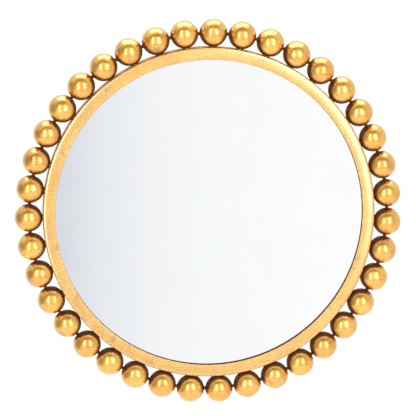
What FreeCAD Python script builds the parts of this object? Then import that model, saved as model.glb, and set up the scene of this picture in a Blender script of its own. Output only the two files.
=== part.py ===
"""Round wall mirror in a steel hoop, framed by a ring of hollow gilded balls.

The mirror hangs on a wall. Its own frame has the wall as the plane Y = 0, the room on the -Y side
and +Z up, and the Y axis is the mirror's axis. Distances called "station" are measured from the wall
towards the room. Angles round the ring run clockwise from the top, as seen from the room.
"""

import FreeCAD
import Part
import math
import os

import Sketcher

Vector = FreeCAD.Vector
Rotation = FreeCAD.Rotation
Placement = FreeCAD.Placement

document = FreeCAD.newDocument("girandole_mirror")


# ---------------------------------------------------------------- driving dimensions (mm, degrees)

DRIVING_DIMENSIONS = {
    "ball_diameter": 50,
    "ball_wall": 1,
    "ball_count": 39,
    "ball_standoff": 0.3,
    "top_ball_turn": 1,
    "hoop_outer_radius": 300,
    "hoop_depth": 30,
    "face_width": 22,
    "face_rise": 15,
    "steel_thickness": 3,
    "outer_edge_rounding": 2.5,
    "inner_edge_rounding": 0.8,
    "wall_clearance": 1.5,
    "running_gap": 0.05,
    "pin_diameter": 5,
    "link_pin_length": 10,
    "peg_length": 8,
    "tape_inner_radius": 281,
    "tape_width": 10,
    "tape_thickness": 1,
    "glass_radius": 295,
    "glass_thickness": 4,
    "glass_arris": 0.5,
    "board_radius": 294,
    "board_thickness": 9,
    "board_edge_rounding": 1,
    "clip_count": 6,
    "clip_width": 16,
    "clip_thickness": 1.5,
    "clip_leg": 12,
    "clip_reach": 18,
    "clip_screw_station": 17.5,
    "clip_screw_diameter": 4,
    "clip_screw_tip_diameter": 3.2,
    "clip_screw_tip_length": 0.4,
    "hanger_screw_diameter": 3.5,
    "hanger_screw_length": 8,
    "hanger_screw_tip_diameter": 0.8,
    "hanger_screw_tip_length": 2.5,
    "hanger_screw_hole_depth": 7.5,
    "screw_head_diameter": 7,
    "screw_head_height": 2.2,
    "screw_head_rounding": 1.2,
    "screw_slot_width": 1.1,
    "screw_slot_length": 4.2,
    "screw_slot_depth": 1.3,
    "strap_width": 16,
    "strap_thickness": 1.5,
    "strap_length": 48,
    "strap_corner_rounding": 7,
    "knuckle_bore": 3.7,
    "knuckle_lip_angle": 110,
    "upper_screw_drop": 25,
    "lower_screw_drop": 40,
    "ring_wire_diameter": 3,
    "ring_half_width": 12,
    "ring_corner_radius": 3,
    "ring_drop": 16.5,
    "hanger_spread": 150,
    "hanger_height": 140,
    "pad_diameter": 10,
    "pad_height": 2.3,
}

sheet = document.addObject("Spreadsheet::Sheet", "dims")
for row, (alias, size) in enumerate(DRIVING_DIMENSIONS.items(), start=1):
    sheet.set(f"A{row}", alias)
    sheet.set(f"B{row}", str(size))
    sheet.setAlias(f"B{row}", alias)
document.recompute()

# Stations of the layers, from the wall towards the room, written as sheet expressions.
BALL_STATION = "(dims.ball_diameter / 2 + dims.wall_clearance)"
FACE_STATION = f"({BALL_STATION} + dims.face_rise)"
FLANGE_BACK = f"({FACE_STATION} - dims.steel_thickness)"
TAPE_BACK = f"({FLANGE_BACK} - dims.tape_thickness)"
GLASS_BACK = f"({TAPE_BACK} - dims.glass_thickness)"
BOARD_BACK = f"({GLASS_BACK} - dims.board_thickness)"
HOOP_BACK = f"({FACE_STATION} - dims.hoop_depth)"

BALL_CIRCLE_RADIUS = "(dims.hoop_outer_radius + dims.ball_standoff + dims.ball_diameter / 2)"
HOOP_INNER_RADIUS = "(dims.hoop_outer_radius - dims.steel_thickness)"
CLIP_OUTER_RADIUS = f"({HOOP_INNER_RADIUS} - dims.running_gap)"
PIN_HOLE_RADIUS = "(dims.pin_diameter / 2 + dims.running_gap)"
KNUCKLE_OUTER_RADIUS = "(dims.knuckle_bore / 2 + dims.strap_thickness)"
HANGER_STATION = f"({BOARD_BACK} - {KNUCKLE_OUTER_RADIUS})"

ROUND_THE_MIRROR = Vector(0, 1, 0)
SKETCH_NORMAL = Vector(0, 0, 1)
FULL_TURN = 360.0
HALF_TURN = 180.0
SQUARE = 90.0
SAME_LENGTH = 1e-6

# How a sketch numbers its own origin point and its two axes.
SKETCH_ORIGIN = (-1, 1)
ACROSS_AXIS = -1
UP_AXIS = -2


def number(expression):
    """The value of a sheet expression."""
    return float(sheet.evalExpression(expression))


def bind(item, sizes):
    """Bind properties of an object to sheet expressions."""
    for name, expression in sizes.items():
        item.setExpression(name, expression)


# ---------------------------------------------------------------- helpers for bodies and sketches

def new_body(name):
    body = document.addObject("PartDesign::Body", name)
    body.Label = name
    return body


def origin_feature(body, role):
    return next(feature for feature in body.Origin.OriginFeatures if feature.Role == role)


def new_sketch(body, name, plane, offset=None, turn=None):
    """A sketch on one of the body's origin planes, moved along its normal or turned about its X axis."""
    sketch = body.newObject("Sketcher::SketchObject", name)
    sketch.AttachmentSupport = [(origin_feature(body, plane), "")]
    sketch.MapMode = "FlatFace"
    if offset is not None:
        sketch.setExpression("AttachmentOffset.Base.z", offset)
    if turn is not None:
        sketch.AttachmentOffset = Placement(Vector(), Rotation(Vector(1, 0, 0), number(turn)))
    return sketch


def relate(sketch, kind, *ends):
    """A geometric constraint, such as Coincident or Tangent."""
    sketch.addConstraint(Sketcher.Constraint(kind, *ends))


def measure(sketch, kind, ends, size):
    """A dimensional constraint whose value is a sheet expression."""
    index = sketch.addConstraint(Sketcher.Constraint(kind, *ends, number(size)))
    sketch.setExpression(f"Constraints[{index}]", size)


def hold_point(sketch, piece, point, across, up):
    """Hold a point of a piece of the sketch at (across, up), each a sheet expression."""
    for kind, place, axis in (("DistanceX", across, UP_AXIS), ("DistanceY", up, ACROSS_AXIS)):
        value = number(place)
        if value > 0:
            measure(sketch, kind, (*SKETCH_ORIGIN, piece, point), place)
        elif value < 0:
            measure(sketch, kind, (piece, point, *SKETCH_ORIGIN), f"-1 * ({place})")
        else:
            relate(sketch, "PointOnObject", piece, point, axis)


def add_circle(sketch, radius, across="0", up="0"):
    """A circle of the given radius, centred at (across, up)."""
    centre = Vector(number(across), number(up), 0)
    circle = sketch.addGeometry(Part.Circle(centre, SKETCH_NORMAL, number(radius)), False)
    measure(sketch, "Radius", (circle,), radius)
    hold_point(sketch, circle, 3, across, up)


def add_outline(sketch, corners):
    """A closed outline of straight sides through corners, each a pair of sheet expressions."""
    points = [Vector(number(across), number(up), 0) for across, up in corners]
    following = points[1:] + points[:1]
    sides = [
        sketch.addGeometry(Part.LineSegment(start, end), False)
        for start, end in zip(points, following)
    ]
    for side, next_side in zip(sides, sides[1:] + sides[:1]):
        relate(sketch, "Coincident", side, 2, next_side, 1)
    for side, (across, up) in zip(sides, corners):
        hold_point(sketch, side, 1, across, up)


def arc_round(centre, radius, start, end):
    """An anticlockwise arc in a sketch, from one angle to another in radians."""
    return Part.ArcOfCircle(Part.Circle(centre, SKETCH_NORMAL, radius), start, end)


def add_pad(body, name, sketch, length, side="One side", reverse=False):
    pad = body.newObject("PartDesign::Pad", name)
    pad.Profile = sketch
    pad.SideType = side
    pad.Reversed = reverse
    pad.setExpression("Length", length)
    document.recompute()
    return pad


def add_pocket(body, name, sketch, length=None, side="One side", reverse=False):
    """A pocket to the given depth, or through everything on its side of the sketch."""
    before = body.Shape.Volume
    pocket = body.newObject("PartDesign::Pocket", name)
    pocket.Profile = sketch
    pocket.SideType = side
    pocket.Reversed = reverse
    if length is None:
        pocket.Type = "ThroughAll"
    else:
        pocket.setExpression("Length", length)
    document.recompute()
    if body.Shape.Volume >= before:
        raise RuntimeError(f"{name} cuts nothing from {body.Label}")
    return pocket


def add_revolution(body, name, sketch, axis, angle=str(FULL_TURN)):
    """A sketch turned about one of its own axes, half of the angle to either side of it."""
    revolution = body.newObject("PartDesign::Revolution", name)
    revolution.Profile = sketch
    revolution.ReferenceAxis = (sketch, [axis])
    revolution.Midplane = True
    revolution.setExpression("Angle", angle)
    document.recompute()
    return revolution


def add_polar_pattern(body, name, feature, count):
    """Repeat a feature evenly round the mirror's axis."""
    pattern = body.newObject("PartDesign::PolarPattern", name)
    pattern.Originals = [feature]
    pattern.Axis = (origin_feature(body, "Y_Axis"), [""])
    pattern.Angle = FULL_TURN
    pattern.setExpression("Occurrences", count)
    body.Tip = pattern
    document.recompute()


def edges_where(shape, wanted):
    """Names of the edges for which wanted(edge) holds."""
    return [f"Edge{i}" for i, edge in enumerate(shape.Edges, start=1) if wanted(edge)]


def is_circle_at(radius, station):
    """A test for circular edges round the mirror's axis, by radius and by distance from the wall."""
    def test(edge):
        curve = edge.Curve
        return (
            isinstance(curve, Part.Circle)
            and math.isclose(curve.Radius, number(radius), abs_tol=SAME_LENGTH)
            and math.isclose(curve.Center.y, -number(station), abs_tol=SAME_LENGTH)
        )
    return test


def add_dressing(body, kind, name, feature, edge_test, size):
    """A Fillet or Chamfer on the edges of a feature that pass a test."""
    dressing = body.newObject(f"PartDesign::{kind}", name)
    dressing.Base = (feature, edges_where(feature.Shape, edge_test))
    dressing.setExpression("Radius" if kind == "Fillet" else "Size", size)
    document.recompute()
    return dressing


def place_round_mirror(angle, radius, station, facing=0.0):
    """Place a piece at an angle round the mirror, with its own Z axis turned to point outwards."""
    radians = math.radians(angle)
    base = Vector(radius * math.sin(radians), -station, radius * math.cos(radians))
    return Placement(base, Rotation(ROUND_THE_MIRROR, angle + facing))


def new_group(name, members):
    """Identical small pieces that share one node, as separate solids."""
    group = document.addObject("Part::Compound", name)
    group.Label = name
    group.Links = members
    return group


# ---------------------------------------------------------------- hoop: flat ring and side band

def make_front_ring():
    """Flat steel ring, its outer corner rolled over and its inner corner just broken."""
    body = new_body("front_ring")
    sketch = new_sketch(body, "ring_outline", "XZ_Plane", offset=FLANGE_BACK)
    add_circle(sketch, "dims.hoop_outer_radius")
    add_circle(sketch, "dims.hoop_outer_radius - dims.face_width")
    pad = add_pad(body, "ring_plate", sketch, "dims.steel_thickness")
    outer = is_circle_at("dims.hoop_outer_radius", FACE_STATION)
    rolled = add_dressing(body, "Fillet", "rolled_corner", pad, outer, "dims.outer_edge_rounding")
    inner = is_circle_at("dims.hoop_outer_radius - dims.face_width", FACE_STATION)
    add_dressing(body, "Fillet", "broken_edge", rolled, inner, "dims.inner_edge_rounding")
    return body


def make_side_band():
    """Rolled steel strip behind the ring, drilled for the ball pegs and tapped for the clips."""
    body = new_body("side_band")
    sketch = new_sketch(body, "band_outline", "XZ_Plane", offset=HOOP_BACK)
    add_circle(sketch, "dims.hoop_outer_radius")
    add_circle(sketch, HOOP_INNER_RADIUS)
    add_pad(body, "band_strip", sketch, "dims.hoop_depth - dims.steel_thickness")

    sketch = new_sketch(body, "peg_hole_outline", "XY_Plane")
    add_circle(sketch, PIN_HOLE_RADIUS, up=f"-1 * {BALL_STATION}")
    hole = add_pocket(body, "peg_hole", sketch, reverse=True)
    add_polar_pattern(body, "peg_holes", hole, "dims.ball_count")

    sketch = new_sketch(body, "clip_hole_outline", "XY_Plane")
    clip_hole_radius = "dims.clip_screw_diameter / 2 + dims.running_gap"
    add_circle(sketch, clip_hole_radius, up="-1 * dims.clip_screw_station")
    hole = add_pocket(body, "clip_hole", sketch, reverse=True)
    add_polar_pattern(body, "clip_holes", hole, "dims.clip_count")

    body.Placement = Placement(Vector(), Rotation(ROUND_THE_MIRROR, number("dims.top_ball_turn")))
    return body


# ---------------------------------------------------------------- what the hoop holds

def make_foam_tape():
    """Soft ring that keeps the glass off the steel."""
    body = new_body("foam_tape")
    sketch = new_sketch(body, "tape_outline", "XZ_Plane", offset=TAPE_BACK)
    add_circle(sketch, "dims.tape_inner_radius")
    add_circle(sketch, "dims.tape_inner_radius + dims.tape_width")
    add_pad(body, "tape_ring", sketch, "dims.tape_thickness")
    return body


def make_mirror_glass():
    """Flat silvered disc with ground arrises."""
    body = new_body("mirror_glass")
    sketch = new_sketch(body, "glass_outline", "XZ_Plane", offset=GLASS_BACK)
    add_circle(sketch, "dims.glass_radius")
    pad = add_pad(body, "glass_disc", sketch, "dims.glass_thickness")
    rims = (
        is_circle_at("dims.glass_radius", GLASS_BACK),
        is_circle_at("dims.glass_radius", TAPE_BACK),
    )
    add_dressing(
        body, "Chamfer", "ground_arrises", pad,
        lambda edge: any(rim(edge) for rim in rims), "dims.glass_arris",
    )
    return body


def make_backing_board():
    """Fibreboard disc behind the glass, with blind holes for the hangers' screws."""
    body = new_body("backing_board")
    sketch = new_sketch(body, "board_outline", "XZ_Plane", offset=BOARD_BACK)
    add_circle(sketch, "dims.board_radius")
    pad = add_pad(body, "board_disc", sketch, "dims.board_thickness")
    rim = is_circle_at("dims.board_radius", BOARD_BACK)
    add_dressing(body, "Fillet", "eased_rim", pad, rim, "dims.board_edge_rounding")

    sketch = new_sketch(body, "screw_hole_outline", "XZ_Plane", offset=BOARD_BACK)
    hole_radius = "dims.hanger_screw_diameter / 2 + dims.running_gap"
    for side in (-1, 1):
        for drop in ("dims.upper_screw_drop", "dims.lower_screw_drop"):
            add_circle(
                sketch, hole_radius,
                across=f"{side} * dims.hanger_spread", up=f"dims.hanger_height - {drop}",
            )
    add_pocket(body, "screw_holes", sketch, "dims.hanger_screw_hole_depth", reverse=True)
    return body


# ---------------------------------------------------------------- balls, pins and pegs

def make_ball(name, placement):
    """Hollow steel ball. Its own Z axis points away from the mirror's centre.

    It is drilled on the inner side for the peg to the band, and on both flanks for the pins to its
    neighbours, which lie half a pitch below square to the Z axis.
    """
    body = new_body(name)
    sketch = new_sketch(body, f"{name}_section", "XZ_Plane")
    radii = ("dims.ball_diameter / 2", "dims.ball_diameter / 2 - dims.ball_wall")
    outer, inner = (number(radius) for radius in radii)
    quarter = math.pi / 2
    arcs = [
        sketch.addGeometry(arc_round(Vector(), radius, -quarter, quarter), False)
        for radius in (outer, inner)
    ]
    poles = [
        sketch.addGeometry(Part.LineSegment(Vector(0, sign * inner, 0), Vector(0, sign * outer, 0)), False)
        for sign in (1, -1)
    ]
    for arc, radius in zip(arcs, radii):
        relate(sketch, "Coincident", arc, 3, *SKETCH_ORIGIN)
        measure(sketch, "Radius", (arc,), radius)
    for pole, arc_end in zip(poles, (2, 1)):
        for pole_end, arc in ((2, arcs[0]), (1, arcs[1])):
            relate(sketch, "Coincident", pole, pole_end, arc, arc_end)
            relate(sketch, "PointOnObject", pole, pole_end, UP_AXIS)
    add_revolution(body, f"{name}_shell", sketch, "V_Axis")

    sketch = new_sketch(body, f"{name}_peg_outline", "XY_Plane")
    add_circle(sketch, PIN_HOLE_RADIUS)
    add_pocket(body, f"{name}_peg_hole", sketch)

    sketch = new_sketch(body, f"{name}_link_outline", "YZ_Plane", turn=f"{HALF_TURN} / dims.ball_count")
    add_circle(sketch, PIN_HOLE_RADIUS)
    hole = add_pocket(body, f"{name}_link_hole", sketch, reverse=True)
    mirrored = body.newObject("PartDesign::Mirrored", f"{name}_link_holes")
    mirrored.Originals = [hole]
    mirrored.MirrorPlane = (origin_feature(body, "YZ_Plane"), [""])
    body.Tip = mirrored
    body.Placement = placement
    return body


def make_pin(name, length, placement):
    """Plain steel dowel along its own Z axis, centred on the placement."""
    pin = document.addObject("Part::Cylinder", name)
    bind(pin, {"Radius": "dims.pin_diameter / 2", "Height": length})
    centring = Placement(Vector(0, 0, -number(length) / 2), Rotation())
    pin.Placement = placement.multiply(centring)
    return pin


def make_ball_ring():
    """All balls round the hoop, with the pins between them and the pegs into the band."""
    count = int(number("dims.ball_count"))
    pitch = FULL_TURN / count
    circle_radius = number(BALL_CIRCLE_RADIUS)
    station = number(BALL_STATION)
    chord_middle_radius = circle_radius * math.cos(math.radians(pitch / 2))
    peg_middle_radius = number(f"{HOOP_INNER_RADIUS} + dims.peg_length / 2")

    balls = []
    link_pins = []
    pegs = []
    for i in range(count):
        angle = number("dims.top_ball_turn") + i * pitch
        balls.append(make_ball(f"ball_{i + 1:02d}", place_round_mirror(angle, circle_radius, station)))
        between = place_round_mirror(angle + pitch / 2, chord_middle_radius, station, facing=SQUARE)
        link_pins.append(make_pin(f"link_pin_{i + 1:02d}", "dims.link_pin_length", between))
        inwards = place_round_mirror(angle, peg_middle_radius, station)
        pegs.append(make_pin(f"peg_{i + 1:02d}", "dims.peg_length", inwards))
    return balls + [new_group("ball_link_pins", link_pins), new_group("ball_pegs", pegs)]


# ---------------------------------------------------------------- screws

def make_screw(name, kind, length, placement):
    """Pan-head screw with a cross slot. The head's underside is at its own origin, the head on +Z."""
    diameter = f"dims.{kind}_diameter"
    tip_diameter = f"dims.{kind}_tip_diameter"
    tip_length = f"dims.{kind}_tip_length"
    body = new_body(name)
    sketch = new_sketch(body, f"{name}_profile", "XZ_Plane")
    head_radius = "dims.screw_head_diameter / 2"
    add_outline(sketch, [
        ("0", "dims.screw_head_height"),
        ("0", f"-1 * ({length})"),
        (f"{tip_diameter} / 2", f"-1 * ({length})"),
        (f"{diameter} / 2", f"-1 * ({length}) + {tip_length}"),
        (f"{diameter} / 2", "0"),
        (head_radius, "0"),
        (head_radius, "dims.screw_head_height"),
    ])
    turned = add_revolution(body, f"{name}_turned", sketch, "V_Axis")

    def is_head_rim(edge):
        curve = edge.Curve
        return (
            isinstance(curve, Part.Circle)
            and math.isclose(curve.Radius, number(head_radius), abs_tol=SAME_LENGTH)
            and curve.Center.z > 0
        )

    add_dressing(body, "Fillet", f"{name}_dome", turned, is_head_rim, "dims.screw_head_rounding")
    sketch = new_sketch(body, f"{name}_cross", "XY_Plane", offset="dims.screw_head_height")
    long_half = "dims.screw_slot_length / 2"
    short_half = "dims.screw_slot_width / 2"
    cross = [
        (short_half, long_half), (short_half, short_half), (long_half, short_half),
    ]
    corners = []
    for across_sign, up_sign, order in ((1, 1, 1), (1, -1, -1), (-1, -1, 1), (-1, 1, -1)):
        for across, up in cross[::order]:
            corners.append((f"{across_sign} * {across}", f"{up_sign} * {up}"))
    add_outline(sketch, corners)
    add_pocket(body, f"{name}_slot", sketch, "dims.screw_slot_depth")
    body.Placement = placement
    return body


# ---------------------------------------------------------------- clips that hold the board

def make_clip(name, placement):
    """Pressed L-clip: one leg screwed to the band, the other lying on the board.

    Its own Z axis points outwards and its own Y axis away from the room, with the origin on the
    mirror's axis at the wall.
    """
    body = new_body(name)
    sketch = new_sketch(body, f"{name}_profile", "YZ_Plane")
    add_outline(sketch, [
        (f"-1 * {BOARD_BACK}", CLIP_OUTER_RADIUS),
        (f"-1 * {BOARD_BACK} + dims.clip_leg", CLIP_OUTER_RADIUS),
        (f"-1 * {BOARD_BACK} + dims.clip_leg", f"{CLIP_OUTER_RADIUS} - dims.clip_thickness"),
        (f"-1 * {BOARD_BACK} + dims.clip_thickness", f"{CLIP_OUTER_RADIUS} - dims.clip_thickness"),
        (f"-1 * {BOARD_BACK} + dims.clip_thickness", f"{CLIP_OUTER_RADIUS} - dims.clip_reach"),
        (f"-1 * {BOARD_BACK}", f"{CLIP_OUTER_RADIUS} - dims.clip_reach"),
    ])
    angle = f"dims.clip_width / {HOOP_INNER_RADIUS} * {HALF_TURN} / pi"
    add_revolution(body, f"{name}_pressed", sketch, "H_Axis", angle)

    sketch = new_sketch(body, f"{name}_hole_outline", "XY_Plane")
    hole_radius = "dims.clip_screw_diameter / 2 + dims.running_gap"
    add_circle(sketch, hole_radius, up="-1 * dims.clip_screw_station")
    add_pocket(body, f"{name}_hole", sketch, reverse=True)
    body.Placement = placement
    return body


def make_clips():
    """Clips evenly round the hoop, each with its machine screw into the band."""
    count = int(number("dims.clip_count"))
    seat_radius = number(f"{CLIP_OUTER_RADIUS} - dims.clip_thickness - dims.running_gap")
    length = f"dims.hoop_outer_radius - {HOOP_INNER_RADIUS} + dims.clip_thickness + 2 * dims.running_gap"
    clips = []
    screws = []
    for i in range(count):
        angle = number("dims.top_ball_turn") + i * FULL_TURN / count
        clips.append(make_clip(f"clip_{i + 1}", Placement(Vector(), Rotation(ROUND_THE_MIRROR, angle))))
        head_inwards = place_round_mirror(
            angle, seat_radius, number("dims.clip_screw_station"), facing=HALF_TURN)
        screws.append(make_screw(f"clip_screw_{i + 1}", "clip_screw", length, head_inwards))
    return clips + [new_group("clip_screws", screws)]


# ---------------------------------------------------------------- hangers

def make_strap(name, placement):
    """Hanger strap, rolled into a knuckle at the top. Its origin is the middle of the knuckle's bore."""
    body = new_body(name)
    sketch = new_sketch(body, f"{name}_profile", "YZ_Plane")
    outer = number(KNUCKLE_OUTER_RADIUS)
    inner = number("dims.knuckle_bore / 2")
    length = number("dims.strap_length")
    lip_angle = -math.radians(number("dims.knuckle_lip_angle"))
    lip_direction = Vector(math.cos(lip_angle), math.sin(lip_angle), 0)
    outer_arc, inner_arc = [
        sketch.addGeometry(arc_round(Vector(), radius, lip_angle, math.pi), False)
        for radius in (outer, inner)
    ]
    lines = [
        (Vector(-outer, -length, 0), Vector(-outer, 0, 0)),
        (lip_direction * outer, lip_direction * inner),
        (Vector(-inner, 0, 0), Vector(-inner, -length, 0)),
        (Vector(-inner, -length, 0), Vector(-outer, -length, 0)),
    ]
    back, lip, front, foot = [sketch.addGeometry(Part.LineSegment(*ends), False) for ends in lines]
    for joint in (
        (back, 2, outer_arc, 2), (outer_arc, 1, lip, 1), (lip, 2, inner_arc, 1),
        (inner_arc, 2, front, 1), (front, 2, foot, 1), (foot, 2, back, 1),
        (outer_arc, 3, *SKETCH_ORIGIN), (inner_arc, 3, *SKETCH_ORIGIN),
    ):
        relate(sketch, "Coincident", *joint)
    for side, top in ((back, 2), (front, 1)):
        relate(sketch, "Vertical", side)
        relate(sketch, "PointOnObject", side, top, ACROSS_AXIS)
    relate(sketch, "Horizontal", foot)
    measure(sketch, "Radius", (outer_arc,), KNUCKLE_OUTER_RADIUS)
    measure(sketch, "Radius", (inner_arc,), "dims.knuckle_bore / 2")
    measure(sketch, "DistanceY", (foot, 1, *SKETCH_ORIGIN), "dims.strap_length")
    strip = add_pad(body, f"{name}_strip", sketch, "dims.strap_width", side="Symmetric")

    def is_foot_corner(edge):
        along = edge.Vertexes[-1].Point - edge.Vertexes[0].Point
        through_plate = max(abs(along.x), abs(along.z)) < SAME_LENGTH
        return through_plate and edge.CenterOfMass.z < SAME_LENGTH - length

    add_dressing(body, "Fillet", f"{name}_round_foot", strip, is_foot_corner, "dims.strap_corner_rounding")
    sketch = new_sketch(body, f"{name}_hole_outline", "XZ_Plane")
    for drop in ("dims.upper_screw_drop", "dims.lower_screw_drop"):
        add_circle(sketch, "dims.hanger_screw_diameter / 2 + dims.running_gap", up=f"-1 * {drop}")
    add_pocket(body, f"{name}_holes", sketch, reverse=True)
    body.Placement = placement
    return body


def make_d_ring(name, placement):
    """D-shaped wire ring hanging from its straight bar. Its origin is the middle of the bar."""
    body = new_body(name)
    half_width = number("dims.ring_half_width")
    corner = number("dims.ring_corner_radius")
    bow_centre = -(number("dims.ring_drop") - half_width)
    path = new_sketch(body, f"{name}_path", "XZ_Plane")
    bar_end = half_width - corner
    right_bar = Part.LineSegment(Vector(), Vector(bar_end, 0, 0))
    right_corner = arc_round(Vector(bar_end, -corner, 0), corner, 0, math.pi / 2)
    right_side = Part.LineSegment(Vector(half_width, -corner, 0), Vector(half_width, bow_centre, 0))
    bow = arc_round(Vector(0, bow_centre, 0), half_width, math.pi, 2 * math.pi)
    left_side = Part.LineSegment(Vector(-half_width, bow_centre, 0), Vector(-half_width, -corner, 0))
    left_corner = arc_round(Vector(-bar_end, -corner, 0), corner, math.pi / 2, math.pi)
    left_bar = Part.LineSegment(Vector(-bar_end, 0, 0), Vector())
    pieces = [right_bar, right_corner, right_side, bow, left_side, left_corner, left_bar]
    path.addGeometry(pieces, False)
    # (piece, end, piece, end): arcs run anticlockwise, so a corner is entered at its second end
    for joint in ((0, 2, 1, 2), (1, 1, 2, 1), (2, 2, 3, 2), (3, 1, 4, 1), (4, 2, 5, 2), (5, 1, 6, 1)):
        relate(path, "Tangent", *joint)
    for bar, middle in ((0, 1), (6, 2)):
        relate(path, "Coincident", bar, middle, *SKETCH_ORIGIN)
        relate(path, "Horizontal", bar)
    for side in (2, 4):
        relate(path, "Vertical", side)
    relate(path, "Equal", 1, 5)
    relate(path, "PointOnObject", 3, 3, UP_AXIS)
    measure(path, "Radius", (1,), "dims.ring_corner_radius")
    measure(path, "Radius", (3,), "dims.ring_half_width")
    measure(path, "DistanceY", (3, 3, *SKETCH_ORIGIN), "dims.ring_drop - dims.ring_half_width")
    document.recompute()

    wire = new_sketch(body, f"{name}_wire", "YZ_Plane")
    add_circle(wire, "dims.ring_wire_diameter / 2")
    pipe = body.newObject("PartDesign::AdditivePipe", f"{name}_bent_wire")
    pipe.Profile = wire
    pipe.Spine = (path, [f"Edge{i + 1}" for i in range(len(pieces))])
    body.Placement = placement
    return body


def make_hangers():
    """Two strap hangers on the board, each with its D-ring, and their wood screws."""
    nodes = []
    screws = []
    seat = number(f"{BOARD_BACK} - dims.strap_thickness")
    height = number("dims.hanger_height")
    head_towards_wall = Rotation(Vector(1, 0, 0), -SQUARE)
    # seen from the room, the left-hand hanger is on the -X side
    for side, sign in (("left", -1), ("right", 1)):
        across = sign * number("dims.hanger_spread")
        pivot = Placement(Vector(across, -number(HANGER_STATION), height), Rotation())
        nodes.append(make_strap(f"hanger_strap_{side}", pivot))
        nodes.append(make_d_ring(f"d_ring_{side}", pivot))
        for drop in ("dims.upper_screw_drop", "dims.lower_screw_drop"):
            place = Placement(Vector(across, -seat, height - number(drop)), head_towards_wall)
            name = f"hanger_screw_{len(screws) + 1}"
            screws.append(make_screw(name, "hanger_screw", "dims.hanger_screw_length", place))
    return nodes + [new_group("hanger_screws", screws)]


# ---------------------------------------------------------------- pads against the wall

# How many balls each pair of pads stands away from the top ball, on either side.
PAD_STEPS = (4, 11, 17)


def make_wall_pads():
    """Clear bumpers on the backs of six balls: short discs hollowed to sit on the ball."""
    pitch = FULL_TURN / number("dims.ball_count")
    circle_radius = number(BALL_CIRCLE_RADIUS)
    facing_room = Rotation(Vector(1, 0, 0), SQUARE)
    pads = []
    for step in sorted([-step for step in PAD_STEPS] + list(PAD_STEPS)):
        angle = number("dims.top_ball_turn") + step * pitch
        centre = place_round_mirror(angle, circle_radius, 0).Base
        count = len(pads) + 1
        disc = document.addObject("Part::Cylinder", f"pad_disc_{count}")
        bind(disc, {"Radius": "dims.pad_diameter / 2", "Height": "dims.pad_height"})
        disc.Placement = Placement(centre, facing_room)
        seat = document.addObject("Part::Sphere", f"pad_seat_{count}")
        bind(seat, {"Radius": "dims.ball_diameter / 2 + dims.running_gap"})
        seat.Placement = Placement(centre - Vector(0, number(BALL_STATION), 0), Rotation())
        pad = document.addObject("Part::Cut", f"pad_{count}")
        pad.Base = disc
        pad.Tool = seat
        pads.append(pad)
    return new_group("wall_pads", pads)


# ---------------------------------------------------------------- build, check and write

nodes = [
    make_front_ring(),
    make_side_band(),
    make_foam_tape(),
    make_mirror_glass(),
    make_backing_board(),
]
nodes += make_ball_ring()
nodes += make_clips()
nodes += make_hangers()
nodes.append(make_wall_pads())

document.recompute()

for item in document.Objects:
    if "Invalid" in item.State or "Error" in item.State:
        raise RuntimeError(f"{item.Label} failed: {item.State}")
for node in nodes:
    if node.Shape.isNull() or not node.Shape.isValid():
        raise RuntimeError(f"{node.Label} has no valid shape")

os.makedirs("parts", exist_ok=True)
for node in nodes:
    node.Shape.exportStep(f"parts/{node.Label}.step")
    print(f"{node.Label}: {len(node.Shape.Solids)} solid(s), {node.Shape.Volume:.0f} mm3")
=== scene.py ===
# %% [markdown]
# # A round mirror framed by gilded balls
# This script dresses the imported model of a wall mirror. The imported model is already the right
# size and in the right place, so sizes are measured on it and nothing is placed by eye. The
# mirror hangs with the wall as the plane Y = 0, the room on the -Y side and Z upwards.

# %% Load the frame
import math

import bmesh
import bpy
from mathutils import Matrix, Quaternion, Vector


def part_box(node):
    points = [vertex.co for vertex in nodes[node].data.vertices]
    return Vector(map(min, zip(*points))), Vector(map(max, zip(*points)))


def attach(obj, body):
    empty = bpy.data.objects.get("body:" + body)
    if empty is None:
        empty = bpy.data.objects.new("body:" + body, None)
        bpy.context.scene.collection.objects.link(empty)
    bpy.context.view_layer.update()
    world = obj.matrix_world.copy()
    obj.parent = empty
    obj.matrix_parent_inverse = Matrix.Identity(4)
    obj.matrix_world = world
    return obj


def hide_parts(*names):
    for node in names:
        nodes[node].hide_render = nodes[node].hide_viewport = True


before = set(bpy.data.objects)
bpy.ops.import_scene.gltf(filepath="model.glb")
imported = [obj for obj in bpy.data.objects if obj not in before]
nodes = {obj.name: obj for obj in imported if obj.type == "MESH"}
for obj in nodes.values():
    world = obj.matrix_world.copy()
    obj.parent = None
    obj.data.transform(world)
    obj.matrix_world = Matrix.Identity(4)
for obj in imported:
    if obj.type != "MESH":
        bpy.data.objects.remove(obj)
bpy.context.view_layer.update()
BODY = "mirror_body"
MM = 0.001
print("nodes:", len(nodes))

# %% [markdown]
# ## Helpers for node trees
# A colour is written as the hex value that a paint shop would quote, and one function turns it to
# the linear values that shaders work in. One function adds a node of any kind with its options
# and its links. The sums, ranges and blends that every tree needs have short names of their own,
# so that a whole material reads as a list of what is done to the surface.

# %% Colour and nodes
def linear(hex_colour):
    """Linear RGBA of an sRGB hex colour such as 'c8a050'."""
    channels = [int(hex_colour[i:i + 2], 16) / 255 for i in (0, 2, 4)]
    return [c / 12.92 if c <= 0.04045 else ((c + 0.055) / 1.055) ** 2.4 for c in channels] + [1.0]


def add_node(tree, kind, settings=None, **sockets):
    """Adds a node. settings are its options; sockets are values, or (node, output) pairs to link.

    A socket's name is written with underscores. in_0, in_1 and so on pick a socket by its place.
    """
    node = tree.nodes.new(kind)
    for name, value in (settings or {}).items():
        setattr(node, name, value)
    for name, value in sockets.items():
        stem, _, place = name.rpartition("_")
        if stem == "in" and place.isdigit():
            socket = node.inputs[int(place)]
        else:
            socket = node.inputs[name.replace("_", " ")]
        if isinstance(value, tuple) and isinstance(value[0], bpy.types.Node):
            source, output = value
            tree.links.new(source.outputs[output], socket)
        else:
            socket.default_value = value
    return node


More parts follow.
